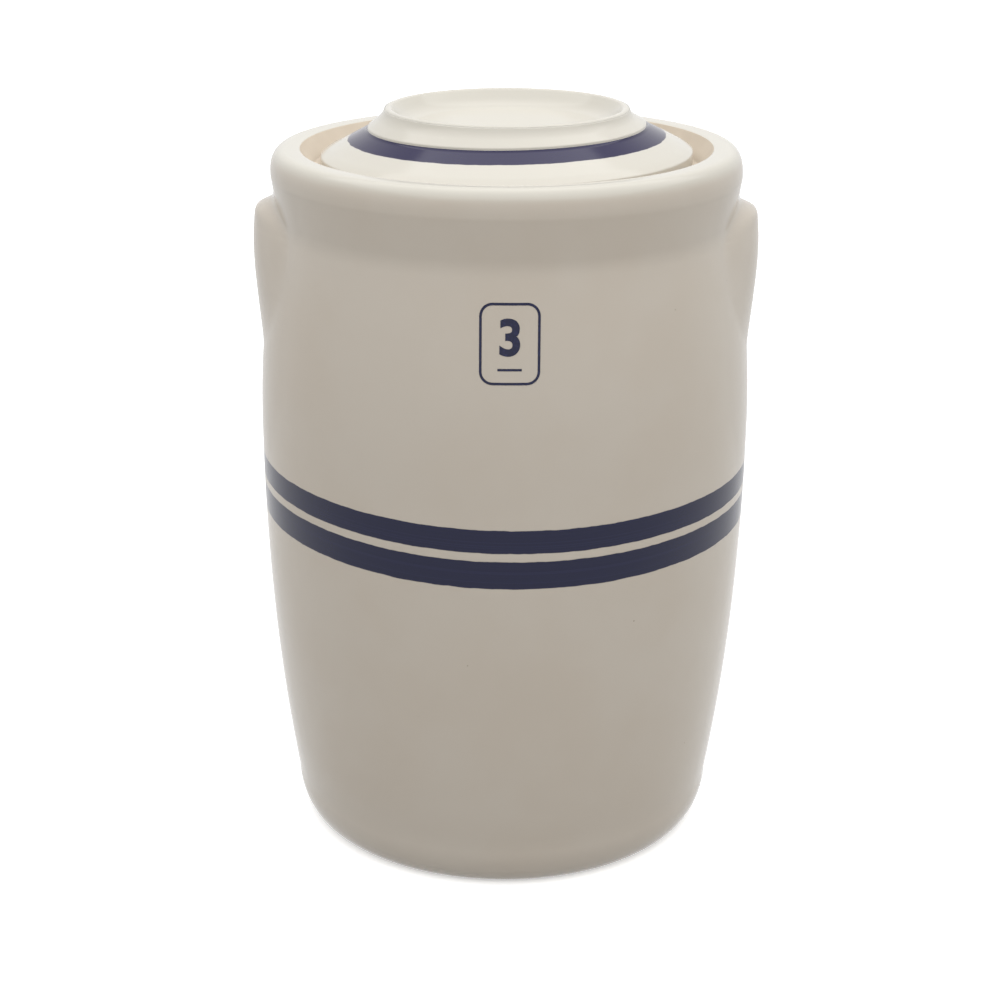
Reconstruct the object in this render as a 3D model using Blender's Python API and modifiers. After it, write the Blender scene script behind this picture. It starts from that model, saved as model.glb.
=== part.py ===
# Stoneware butter churn: a thrown crock with two lug ears, a dropped-in lid with a dished cup,
# and a hardwood dasher standing inside. Metres, +Z up, the mark's side faces -Y.
# The origin is the centre of the base, on the table.

import bpy
import bmesh
from math import atan2, cos, sin, tan, pi, degrees, hypot, radians

# Crock, outside
belly_radius = 0.1240
belly_height = 0.2145
foot_radius = 0.1063
belly_power = 2.25
neck_radius = 0.1126
neck_height = 0.3176
neck_sweep = 0.0042
shoulder_power = 2.0
foot_round_width = 0.0118
foot_round_height = 0.0228
foot_ring_width = 0.0130
foot_recess = 0.0025

# Crock, rolled rim
rim_radius = 0.1161
rim_height = 0.0362
rim_crest_inset = 0.0078
rim_bulge_height = 0.0241
rim_under_radius = 0.0120
rim_under_angle = 12
rim_roll_width = 0.0068
rim_roll_drop = 0.0018

# Crock, inside
wall_thickness = 0.0110
floor_thickness = 0.0120
inside_corner = 0.0200
collar_depth = 0.0090
collar_run = 0.0320

# Seat of the lid inside the rim
lid_radius = 0.0914
seat_depth = 0.0101
seat_clearance = 0.0030
seat_overlap = 0.0045
seat_round = 0.0010

# Lid
lid_edge_thickness = 0.0072
lid_edge_round = 0.0016
lid_wall = 0.0085
tier_radius = 0.0682
tier_base_height = 0.0189
tier_edge_height = 0.0010
tier_round = 0.0006
cup_radius = 0.0602
cup_height = 0.0096
lip_thickness = 0.0048
cup_lean = 30
cup_foot_radius = 0.0613
cup_sweep = 0.0021
dish_depth = 0.0077
dish_angle = 38
dish_sweep = 0.0050
dish_fall = 0.0048
spigot_width = 0.0060
spigot_depth = 0.0070
spigot_clearance = 0.0008

# Dasher
staff_radius = 0.0110
staff_clearance = 0.0050
staff_below_hole = 0.0010
staff_chamfer = 0.0015
socket_radius = 0.0060
socket_depth = 0.0300
tenon_radius = 0.0080
tenon_clearance = 0.0003
foot_length = 0.0090
foot_chamfer = 0.0010
slat_length = 0.1500
slat_width = 0.0380
slat_thickness = 0.0120
slat_corner = 0.0110
slat_edge = 0.0015
lap_clearance = 0.0003
flow_hole_radius = 0.0070
flow_hole_margin = 0.0100
flow_hole_spacing = 0.0220
flow_holes_per_arm = 2
peg_radius = 0.0030
peg_length = 0.0460
peg_clearance = 0.0003
peg_chamfer = 0.0006

# Ears
ear_projection = 0.01038
ear_bury = 0.0051
ear_half_width = 0.0400
ear_below_neck = 0.0153
ear_rise = 0.0256
ear_fall = 0.0700
ear_top_power = 3.4
ear_bottom_power = 1.45

# Gap kept between pieces that touch
touch_gap = 0.0003

# How far a cutter reaches past what it cuts
cutter_margin = 0.0050

# Facets
turned_segments = 56
wall_points = 10
inside_points = 6
arc_points = 4
count_per_edge = 3
count_per_fillet = 2
count_per_half_turn = 6
count_per_corner = 5
rod_segments = 20
ear_segments = 40
ear_rings = 24
merge_distance = 0.00001
sharp_angle = 40

# Heights that follow from the sizes above
rim_top = neck_height + rim_height
rim_bulge = neck_height + rim_bulge_height
crest_radius = rim_radius - rim_crest_inset
mouth_radius = lid_radius - seat_overlap
seat_height = rim_top - seat_depth
lid_base = seat_height + touch_gap
hole_radius = staff_radius + staff_clearance
dasher_base = floor_thickness + touch_gap
ear_height = neck_height - ear_below_neck


def arc(center_r, center_z, radius_r, radius_z, start, stop, count=arc_points):
    """Points of an elliptical arc in the profile plane, angles in degrees."""
    points = []
    for step in range(count + 1):
        angle = radians(start + (stop - start) * step / count)
        points.append((center_r + radius_r * cos(angle), center_z + radius_z * sin(angle)))
    return points


def toward(point, target, distance):
    """The point that lies a distance from one point towards another."""
    share = distance / hypot(target[0] - point[0], target[1] - point[1])
    return point[0] + (target[0] - point[0]) * share, point[1] + (target[1] - point[1]) * share


def soft_corner(before, corner, after, reach, count=arc_points):
    """Points of a soft curve across a corner, from its reach before the corner to as far after it."""
    start = toward(corner, before, reach)
    end = toward(corner, after, reach)
    points = []
    for step in range(count + 1):
        near = (1 - step / count) ** 2
        far = (step / count) ** 2
        middle = 1 - near - far
        radius = near * start[0] + middle * corner[0] + far * end[0]
        height = near * start[1] + middle * corner[1] + far * end[1]
        points.append((radius, height))
    return points


def wall_radius(height):
    """Outer radius of the thrown body at a height above the table."""
    if height < belly_height:
        share = (belly_height - height) / belly_height
        return belly_radius - (belly_radius - foot_radius) * share ** belly_power
    share = (height - belly_height) / (neck_height - belly_height)
    return belly_radius - (belly_radius - neck_radius) * share ** shoulder_power


def crock_outside():
    """Rolled rim, hollow neck, bellied wall and foot, from the rim's crest down to the table."""
    rim_side = arc(crest_radius, rim_bulge, rim_radius - crest_radius, rim_top - rim_bulge, 90, 0)
    under_middle = rim_radius - rim_under_radius
    under_rim = arc(under_middle, rim_bulge, rim_under_radius, rim_under_radius, 0, -rim_under_angle,
                    count_per_fillet)
    wall_top = neck_height - neck_sweep
    top_point = (wall_radius(wall_top), wall_top)
    neck = soft_corner(under_rim[-1], (neck_radius, neck_height), top_point, neck_sweep)
    wall = []
    for step in range(1, wall_points + 1):
        height = wall_top + (foot_round_height - wall_top) * step / wall_points
        wall.append((wall_radius(height), height))
    foot_edge = wall_radius(foot_round_height) - foot_round_width
    foot = arc(foot_edge, foot_round_height, foot_round_width, foot_round_height, 0, -90, count_per_half_turn)
    return rim_side + under_rim[1:] + neck + wall + foot[1:]


def crock_inside():
    """Floor, wall, collar, lid seat and the inner side of the rim, from the axis up to the crest."""
    collar_foot = seat_height - collar_depth - collar_run
    corner_z = floor_thickness + inside_corner
    corner_r = wall_radius(corner_z) - wall_thickness
    points = [(0.0, floor_thickness)]
    points += arc(corner_r - inside_corner, corner_z, inside_corner, inside_corner, -90, 0)
    for step in range(1, inside_points):
        height = corner_z + (collar_foot - corner_z) * step / (inside_points - 1)
        points.append((wall_radius(height) - wall_thickness, height))
    collar_start = points[-1][0]
    for step in range(1, arc_points + 1):
        share = step / arc_points
        ease = (1 - cos(pi * share)) / 2
        radius = collar_start + (mouth_radius - collar_start) * ease
        points.append((radius, collar_foot + collar_run * share))
    seat_edge = mouth_radius + seat_round
    points += arc(seat_edge, seat_height - seat_round, seat_round, seat_round, 180, 90, count_per_fillet)
    recess_radius = lid_radius + seat_clearance
    points.append((recess_radius, seat_height))
    points.append((recess_radius + seat_round, seat_height + seat_round))
    roll = arc(crest_radius, rim_top - rim_roll_drop, rim_roll_width, rim_roll_drop, 180, 90)
    return points + roll[:-1]


def crock_profile():
    """Half section of the crock, from the inside floor over the rim and down to the recessed base."""
    outside = crock_outside()
    ring_inner = outside[-1][0] - foot_ring_width
    base = [(ring_inner, 0.0), (ring_inner - foot_recess, foot_recess), (0.0, foot_recess)]
    return crock_inside() + outside + base


def lid_profile():
    """Closed half section of the lid, heights measured from its seat."""
    edge_top = lid_edge_thickness
    lip_round = lip_thickness / 2
    lip_top = tier_base_height + cup_height
    lip_middle = cup_radius - lip_round * cos(radians(cup_lean))
    lip = arc(lip_middle, lip_top - lip_round, lip_round, lip_round, 90 + dish_angle, cup_lean,
              count_per_half_turn)
    dish_floor = lip_top - dish_depth
    dish_edge = lip[0][0] - (lip[0][1] - dish_floor) / tan(radians(dish_angle))
    drain = dish_floor - dish_fall
    drain_round = staff_clearance / 4
    drain_edge = hole_radius + drain_round
    points = arc(drain_edge, drain - drain_round, drain_round, drain_round, 180, 90, count_per_edge)
    points += soft_corner(points[-1], (dish_edge, dish_floor), lip[0], dish_sweep, count_per_edge)
    points += lip
    cup_foot = (cup_foot_radius, lip[-1][1] - (cup_foot_radius - cup_radius) / tan(radians(cup_lean)))
    tier_edge = (tier_radius, tier_base_height + tier_edge_height)
    points += soft_corner(lip[-1], cup_foot, tier_edge, cup_sweep, count_per_edge)
    tier_base = (tier_radius, tier_base_height)
    points += soft_corner(cup_foot, tier_edge, tier_base, tier_round, count_per_fillet)
    points.append(tier_base)
    turn = degrees(atan2(lid_radius - tier_radius, tier_base_height - edge_top))
    lid_edge = lid_radius - lid_edge_round
    edge_level = edge_top - lid_edge_round
    points += arc(lid_edge, edge_level, lid_edge_round, lid_edge_round, turn, 0, count_per_edge)
    points.append((lid_radius, lid_edge_round / 2))
    points.append((lid_radius - lid_edge_round / 2, 0.0))
    spigot_radius = mouth_radius - spigot_clearance
    spigot_inner = spigot_radius - spigot_width
    points += [(spigot_radius, 0.0), (spigot_radius, -spigot_depth + lid_edge_round)]
    points.append((spigot_radius - lid_edge_round, -spigot_depth))
    points.append((spigot_inner + lid_edge_round, -spigot_depth))
    points.append((spigot_inner, -spigot_depth + lid_edge_round))
    points.append((spigot_inner - lid_edge_round, edge_top / 2))
    under_dish = cup_radius - lip_thickness
    points += [(tier_radius - lid_wall, tier_base_height - lid_wall), (under_dish, dish_floor - lid_wall)]
    points.append((hole_radius, drain - lid_wall))
    return points


def staff_top():
    """Height of the staff's top end above its foot: just under the hole in the lid."""
    drain = tier_base_height + cup_height - dish_depth - dish_fall
    return lid_base + drain - lid_wall - staff_below_hole - dasher_base


def cross_base():
    """Height of the underside of the dasher's cross above the staff's foot."""
    return foot_length + touch_gap


def shoulder_height():
    """Height of the staff's shoulder, which bears on top of the cross."""
    return cross_base() + slat_thickness + touch_gap


def staff_profile():
    """Half section of the staff, from the handle's socket over the top and down to the foot."""
    top = staff_top()
    points = [(0.0, top - socket_depth), (socket_radius, top - socket_depth)]
    points += [(socket_radius, top - staff_chamfer), (socket_radius + staff_chamfer, top)]
    points += [(staff_radius - staff_chamfer, top), (staff_radius, top - staff_chamfer)]
    points += [(staff_radius, shoulder_height()), (tenon_radius, shoulder_height())]
    points += [(tenon_radius, foot_chamfer), (tenon_radius - foot_chamfer, 0.0), (0.0, 0.0)]
    return points


def material(name, color, roughness):
    """A Principled material of one colour."""
    result = bpy.data.materials.new(name)
    result.use_nodes = True
    shader = result.node_tree.nodes["Principled BSDF"]
    shader.inputs["Base Color"].default_value = (*color, 1.0)
    shader.inputs["Roughness"].default_value = roughness
    return result


def place(obj, collection, parent=None):
    """Link an object to a collection, under its joint's empty if it has one."""
    collection.objects.link(obj)
    obj.parent = parent
    return obj


def shade(mesh, look):
    """Give a mesh its material and smooth shading with crisp edges."""
    mesh.materials.append(look)
    mesh.shade_smooth()
    mesh.set_sharp_from_angle(angle=radians(sharp_angle))


def turned(name, points, closed, segments, look):
    """A turned solid: its half section with a Screw modifier."""
    count = len(points)
    edges = [(index, index + 1) for index in range(count - 1)]
    if closed:
        edges.append((count - 1, 0))
    mesh = bpy.data.meshes.new(name)
    mesh.from_pydata([(radius, 0.0, height) for radius, height in points], edges, [])
    if look:
        mesh.materials.append(look)
    obj = bpy.data.objects.new(name, mesh)
    screw = obj.modifiers.new("Screw", "SCREW")
    screw.axis = "Z"
    screw.steps = segments
    screw.render_steps = segments
    screw.use_merge_vertices = True
    screw.merge_threshold = merge_distance
    screw.use_smooth_shade = True
    return obj


def cut(obj, cutter):
    """Cut one object with another."""
    boolean = obj.modifiers.new("Cut", "BOOLEAN")
    boolean.operation = "DIFFERENCE"
    boolean.object = cutter
    boolean.solver = "EXACT"


def as_cutter(obj):
    """Mark an object as a cutter that is never part of the model."""
    obj.hide_render = True
    obj.display_type = "WIRE"
    return obj


def box(name, size, center, look=None, corner=0.0, edge=0.0):
    """A box with its corner posts and its edges rounded."""
    mesh = bpy.data.meshes.new(name)
    shape = bmesh.new()
    bmesh.ops.create_cube(shape, size=1.0)
    bmesh.ops.scale(shape, vec=size, verts=shape.verts)
    if corner:
        posts = [e for e in shape.edges if abs(e.verts[0].co.z - e.verts[1].co.z) > size[2] / 2]
        bmesh.ops.bevel(shape, geom=posts, offset=corner, segments=count_per_corner, profile=0.5,
                        affect="EDGES", material=-1)
    if edge:
        rims = [e for e in shape.edges if abs(e.verts[0].co.z - e.verts[1].co.z) < merge_distance]
        bmesh.ops.bevel(shape, geom=rims, offset=edge, segments=1, profile=0.5, affect="EDGES",
                        material=-1)
    bmesh.ops.translate(shape, vec=center, verts=shape.verts)
    shape.to_mesh(mesh)
    shape.free()
    if look:
        shade(mesh, look)
    return bpy.data.objects.new(name, mesh)


def rod(name, radius, length, look=None, chamfer=0.0):
    """A round rod along its own Z, centred on its origin."""
    mesh = bpy.data.meshes.new(name)
    shape = bmesh.new()
    bmesh.ops.create_cone(shape, cap_ends=True, segments=rod_segments, radius1=radius, radius2=radius,
                          depth=length)
    if chamfer:
        rims = [e for e in shape.edges if abs(e.verts[0].co.z - e.verts[1].co.z) < merge_distance]
        bmesh.ops.bevel(shape, geom=rims, offset=chamfer, segments=1, profile=0.5, affect="EDGES",
                        material=-1)
    shape.to_mesh(mesh)
    shape.free()
    if look:
        shade(mesh, look)
    return bpy.data.objects.new(name, mesh)


def ear(name, side, look):
    """A lug of clay: a rounded pad, blunt at the top, drawn out to nothing down the wall."""
    ear_root = wall_radius(ear_height) - ear_bury
    ear_depth = ear_bury + ear_projection
    mesh = bpy.data.meshes.new(name)
    shape = bmesh.new()
    bmesh.ops.create_uvsphere(shape, u_segments=ear_segments, v_segments=ear_rings, radius=1.0)
    for vertex in shape.verts:
        level = min(1.0, abs(vertex.co.z))
        ring = max(merge_distance, (1.0 - level ** 2) ** 0.5)
        power = ear_top_power if vertex.co.z > 0 else ear_bottom_power
        spread = (1.0 - level ** power) ** (1.0 / power) / ring
        vertex.co.x *= spread * ear_depth
        vertex.co.y *= spread * ear_half_width
        vertex.co.z *= ear_rise if vertex.co.z > 0 else ear_fall
    shape.to_mesh(mesh)
    shape.free()
    shade(mesh, look)
    obj = bpy.data.objects.new(name, mesh)
    obj.location = (side * ear_root, 0.0, ear_height)
    return obj


def slat(name, angle, lap_on_top, look, parts, cutters, parent):
    """One slat of the dasher's cross, half lapped at the middle, with its flow holes."""
    middle = cross_base() + slat_thickness / 2
    size = (slat_length, slat_width, slat_thickness)
    obj = box(name, size, (0, 0, middle), look, slat_corner, slat_edge)
    place(obj, parts, parent)
    obj.rotation_euler.z = angle
    lap_side = 1 if lap_on_top else -1
    lap_width = slat_width + 2 * lap_clearance
    lap_middle = middle + lap_side * (slat_thickness - lap_clearance) / 2
    lap_size = (lap_width, slat_width + 2 * cutter_margin, slat_thickness)
    lap = box(name + "_lap", lap_size, (0, 0, lap_middle))
    through = slat_thickness + 2 * cutter_margin
    bore = rod(name + "_bore", tenon_radius + tenon_clearance, through)
    bore.location.z = middle
    cuts = [lap, bore]
    first_hole = slat_length / 2 - flow_hole_margin - flow_hole_radius
    for arm in (-1, 1):
        for hole in range(flow_holes_per_arm):
            flow = rod(f"{name}_flow_{arm}_{hole}", flow_hole_radius, through)
            flow.location = (arm * (first_hole - hole * flow_hole_spacing), 0, middle)
            cuts.append(flow)
    for cutter in cuts:
        place(as_cutter(cutter), cutters, obj)
        cut(obj, cutter)
    return obj


def build():
    """Model the churn."""
    for obj in list(bpy.data.objects):
        bpy.data.objects.remove(obj)
    parts = bpy.data.collections.new("butter_churn")
    cutters = bpy.data.collections.new("cutters")
    bpy.context.scene.collection.children.link(parts)
    bpy.context.scene.collection.children.link(cutters)

    glaze = material("cream_glaze", (0.62, 0.57, 0.48), 0.12)
    ear_glaze = material("ear_glaze", (0.62, 0.57, 0.48), 0.12)
    lid_glaze = material("lid_glaze", (0.66, 0.62, 0.53), 0.12)
    staff_wood = material("staff_maple", (0.55, 0.38, 0.22), 0.55)
    slat_wood = material("slat_maple", (0.50, 0.34, 0.19), 0.6)
    peg_wood = material("peg_oak", (0.36, 0.22, 0.11), 0.6)

    lid_axis = bpy.data.objects.new("lid_lift_axis", None)
    place(lid_axis, parts).location.z = lid_base
    dasher_axis = bpy.data.objects.new("dasher_stroke_axis", None)
    place(dasher_axis, parts).location.z = dasher_base

    place(turned("crock", crock_profile(), False, turned_segments, glaze), parts)
    place(turned("lid", lid_profile(), True, turned_segments, lid_glaze), parts, lid_axis)

    outside = [(0.0, rim_top)] + crock_outside()
    grown = [(radius + touch_gap if radius else 0.0, height) for radius, height in outside]
    wall_cutter = as_cutter(turned("wall_cutter", grown + [(0.0, 0.0)], False, turned_segments, None))
    place(wall_cutter, cutters)
    for name, side in (("ear_left", -1), ("ear_right", 1)):
        cut(place(ear(name, side, ear_glaze), parts), wall_cutter)

    staff = turned("dasher_staff", staff_profile(), False, rod_segments, staff_wood)
    place(staff, parts, dasher_axis)
    peg_height = cross_base() - touch_gap - peg_radius
    through_tenon = 2 * (tenon_radius + cutter_margin)
    peg_bore = as_cutter(rod("peg_bore", peg_radius + peg_clearance, through_tenon))
    place(peg_bore, cutters, dasher_axis).location.z = peg_height
    peg_bore.rotation_euler.y = pi / 2
    cut(staff, peg_bore)
    peg = place(rod("dasher_peg", peg_radius, peg_length, peg_wood, peg_chamfer), parts, dasher_axis)
    peg.location.z = peg_height
    peg.rotation_euler.y = pi / 2
    slat("dasher_slat_lower", 0.0, True, slat_wood, parts, cutters, dasher_axis)
    slat("dasher_slat_upper", pi / 2, False, slat_wood, parts, cutters, dasher_axis)


build()
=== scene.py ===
# Stoneware butter churn in a pale studio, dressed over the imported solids.
# Metres, +Z up, the numeral faces -Y. Heights and reaches come from the frame where a solid gives them.
from math import atan2, cos, degrees, hypot, pi, radians, sin, sqrt, tan

import bmesh
import bpy
from mathutils import Matrix, Vector


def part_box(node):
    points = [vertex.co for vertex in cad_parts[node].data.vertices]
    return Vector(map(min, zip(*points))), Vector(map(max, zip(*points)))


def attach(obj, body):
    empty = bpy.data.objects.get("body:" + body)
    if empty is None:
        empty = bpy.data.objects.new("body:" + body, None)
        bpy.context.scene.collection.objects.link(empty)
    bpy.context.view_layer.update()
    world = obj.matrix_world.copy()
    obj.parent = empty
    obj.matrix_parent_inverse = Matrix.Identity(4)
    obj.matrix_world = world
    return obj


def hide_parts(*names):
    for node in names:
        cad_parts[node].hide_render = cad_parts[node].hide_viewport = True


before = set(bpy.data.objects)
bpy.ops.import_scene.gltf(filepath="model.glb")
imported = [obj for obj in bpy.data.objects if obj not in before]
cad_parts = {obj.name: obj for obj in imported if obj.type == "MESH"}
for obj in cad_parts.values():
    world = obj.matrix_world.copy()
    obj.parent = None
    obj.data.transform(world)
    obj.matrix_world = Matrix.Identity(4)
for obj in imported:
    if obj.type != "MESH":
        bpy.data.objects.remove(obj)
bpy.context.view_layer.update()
crockLow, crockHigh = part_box("crock")
lidLow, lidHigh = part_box("lid")
staffLow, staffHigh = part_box("dasher_staff")
pegLow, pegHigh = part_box("dasher_peg")
print("frame loaded:", len(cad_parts), "nodes")


# Helpers for shapes

def arcPoints(centre, reach, start, stop, count):
    points = []
    for step in range(count + 1):
        angle = radians(start + (stop - start) * step / count)
        points.append((centre[0] + reach[0] * cos(angle), centre[1] + reach[1] * sin(angle)))
    return points


def spread(start, stop, count):
    return [start + (stop - start) * step / count for step in range(count + 1)]


def alongLine(start, stop, count):
    return [(start[0] + (stop[0] - start[0]) * share, start[1] + (stop[1] - start[1]) * share)
            for share in spread(0.0, 1.0, count)]


def softCorner(before, corner, after, reach, count):
    # A soft curve across a corner, from its reach before the corner to as far after it
    corner = Vector(corner)
    start = corner + (Vector(before) - corner).normalized() * reach
    end = corner + (Vector(after) - corner).normalized() * reach
    points = []
    for share in spread(0.0, 1.0, count):
        point = start.lerp(corner, share).lerp(corner.lerp(end, share), share)
        points.append((point.x, point.y))
    return points


def turnSection(points, closed, segments):
    # A half section turned full circle about Z, its poles and seam closed and its faces outwards
    shape = bmesh.new()
    ring = [shape.verts.new((radius, 0.0, height)) for radius, height in points]
    edges = [shape.edges.new(pair) for pair in zip(ring, ring[1:])]
    if closed:
        edges.append(shape.edges.new((ring[-1], ring[0])))
    bmesh.ops.spin(shape, geom=ring + edges, axis=(0, 0, 1), cent=(0, 0, 0), steps=segments,
                   angle=2 * pi, use_merge=True)
    bmesh.ops.remove_doubles(shape, verts=shape.verts, dist=0.000005)
    bmesh.ops.recalc_face_normals(shape, faces=shape.faces)
    return shape


def cutAcross(shape, place, normal):
    bmesh.ops.bisect_plane(shape, geom=shape.verts[:] + shape.edges[:] + shape.faces[:], plane_co=place,
                           plane_no=normal)


def isLevel(edge):
    return abs(edge.verts[0].co.z - edge.verts[1].co.z) < 0.0001


def clampShare(value):
    return min(max(value, 0.0), 1.0)


def smoothStep(share):
    return share * share * (3 - 2 * share)


def meshObject(name, shape, materials):
    mesh = bpy.data.meshes.new(name)
    shape.to_mesh(mesh)
    shape.free()
    for material in materials:
        mesh.materials.append(material)
    piece = bpy.data.objects.new(name, mesh)
    bpy.context.scene.collection.objects.link(piece)
    return piece


def finishPiece(name, shape, materials, body, nodes=()):
    piece = meshObject(name, shape, materials)
    piece.data.shade_smooth()
    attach(piece, body)
    if nodes:
        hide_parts(*nodes)
    print("piece:", name, len(piece.data.polygons), "faces")
    return piece


# Helpers for materials

def hexColour(text):
    channels = [int(text[index:index + 2], 16) / 255 for index in (1, 3, 5)]
    linear = [c / 12.92 if c <= 0.04045 else ((c + 0.055) / 1.055) ** 2.4 for c in channels]
    return (*linear, 1.0)


def addNode(tree, kind, settings=None, links=None):
    node = tree.nodes.new(kind)
    for name, value in (settings or {}).items():
        setattr(node, name, value)
    for socket, value in (links or {}).items():
        if isinstance(value, bpy.types.NodeSocket):
            tree.links.new(value, node.inputs[socket])
        else:
            node.inputs[socket].default_value = value
    return node


def newMaterial(name, roughness, ior):
    material = bpy.data.materials.new(name)
    material.use_nodes = True
    tree = material.node_tree
    shader = tree.nodes["Principled BSDF"]
    shader.inputs["Roughness"].default_value = roughness
    shader.inputs["IOR"].default_value = ior
    place = addNode(tree, "ShaderNodeTexCoord").outputs["Object"]
    return material, tree, shader, place


glaze = {
    "cream": "#bdb5aa",       # over the crock's buff clay
    "creamWarm": "#bbb2a6",
    "toplitCream": "#c2beb4",    # painted light: the cream painted whiter and cooler, standing in for the light from above on the lid and the rim's top
    "toplitCreamWarm": "#c1bcb1",
    "speck": "#6d5a45",
    "cobalt": "#101436",
    "cobaltWashed": "#262a56",
    "ringCobalt": "#150e3c",  # thicker under the lid's glaze, so it turns violet
    "ringWashed": "#282449",
    "roughness": 0.12,
    "ior": 1.41,
    "toplitFrom": 0.3470,      # between these heights the cream is painted whiter towards the rim's top, standing in for the light from above: painted light
    "toplitTo": 0.3520,
    "cloudSize": 0.070,       # drifts of tone where the glaze lay thicker
    "waveSize": 0.045,        # slow unevenness of the thrown wall
    "waveHeight": 0.00035,
    "peelSize": 0.0042,       # the glaze's fine orange peel
    "peelHeight": 0.000010,
    "speckSpacing": 0.016,
    "speckSize": 0.00030,
    "brushSize": 0.0011,      # streaks the banding brush left
    "edgeFade": 0.00045,      # how softly the blue runs out at its edges
    "edgeShake": 120.0,       # waverings of those edges per metre
}

clay = {
    "buff": "#cbbfae",
    "dark": "#bcae9c",
    "roughness": 0.72,
    "ior": 1.5,
    "blush": 60.0,            # patches per metre that the fire darkened
    "grit": 0.0009,
    "gritHeight": 0.00006,
}


def glazeSkin(tree, shader, place):
    # Reflections waver slowly over the thrown wall and tremble a little on the glaze's own peel
    wave = addNode(tree, "ShaderNodeTexNoise", {}, {
        "Vector": place, "Scale": 1 / glaze["waveSize"], "Detail": 1.0, "Roughness": 0.4})
    waveBump = addNode(tree, "ShaderNodeBump", {}, {
        "Height": wave.outputs["Fac"], "Strength": 1.0, "Distance": glaze["waveHeight"]})
    peel = addNode(tree, "ShaderNodeTexNoise", {}, {
        "Vector": place, "Scale": 1 / glaze["peelSize"], "Detail": 1.0, "Roughness": 0.5})
    peelBump = addNode(tree, "ShaderNodeBump", {}, {
        "Height": peel.outputs["Fac"], "Strength": 1.0, "Distance": glaze["peelHeight"],
        "Normal": waveBump.outputs["Normal"]})
    tree.links.new(peelBump.outputs["Normal"], shader.inputs["Normal"])


def creamColour(tree, place, cream, creamWarm):
    # Cream glaze over buff clay: slow drifts between two creams, painted whiter on the rim's top where the
    # light from above falls (painted light), and a few iron specks
    cloud = addNode(tree, "ShaderNodeTexNoise", {}, {
        "Vector": place, "Scale": 1 / glaze["cloudSize"], "Detail": 3.0, "Roughness": 0.55})
    drift = addNode(tree, "ShaderNodeMapRange", {"interpolation_type": "SMOOTHSTEP"}, {
        "Value": cloud.outputs["Fac"], "From Min": 0.35, "From Max": 0.65})
    body = addNode(tree, "ShaderNodeMix", {"data_type": "RGBA"}, {
        "Factor": drift.outputs["Result"], "A": hexColour(cream), "B": hexColour(creamWarm)})
    height = addNode(tree, "ShaderNodeSeparateXYZ", {}, {"Vector": place})
    # Painted light: the cream turns whiter towards the rim's top, standing in for the light from above
    toplitShare = addNode(tree, "ShaderNodeMapRange", {"interpolation_type": "SMOOTHSTEP"}, {
        "Value": height.outputs["Z"], "From Min": glaze["toplitFrom"], "From Max": glaze["toplitTo"]})
    base = addNode(tree, "ShaderNodeMix", {"data_type": "RGBA"}, {
        "Factor": toplitShare.outputs["Result"], "A": body.outputs["Result"], "B": hexColour(glaze["toplitCream"])})
    cells = addNode(tree, "ShaderNodeTexVoronoi", {"feature": "F1"}, {
        "Vector": place, "Scale": 1 / glaze["speckSpacing"], "Randomness": 1.0})
    chosen = addNode(tree, "ShaderNodeSeparateColor", {}, {"Color": cells.outputs["Color"]})
    few = addNode(tree, "ShaderNodeMath", {"operation": "MULTIPLY"}, {
        0: chosen.outputs["Red"], 1: glaze["speckSize"] / glaze["speckSpacing"]})
    spot = addNode(tree, "ShaderNodeMath", {"operation": "LESS_THAN"}, {
        0: cells.outputs["Distance"], 1: few.outputs["Value"]})
    return addNode(tree, "ShaderNodeMix", {"data_type": "RGBA"}, {
        "Factor": spot.outputs["Value"], "A": base.outputs["Result"],
        "B": hexColour(glaze["speck"])}).outputs["Result"]


def makeCreamGlaze(name, cream, creamWarm):
    # Glossy white-cream feldspathic glaze: a wet shine with soft edges over a quiet, even body colour
    material, tree, shader, place = newMaterial(name, glaze["roughness"], glaze["ior"])
    tree.links.new(creamColour(tree, place, cream, creamWarm), shader.inputs["Base Color"])
    glazeSkin(tree, shader, place)
    return material


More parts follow.
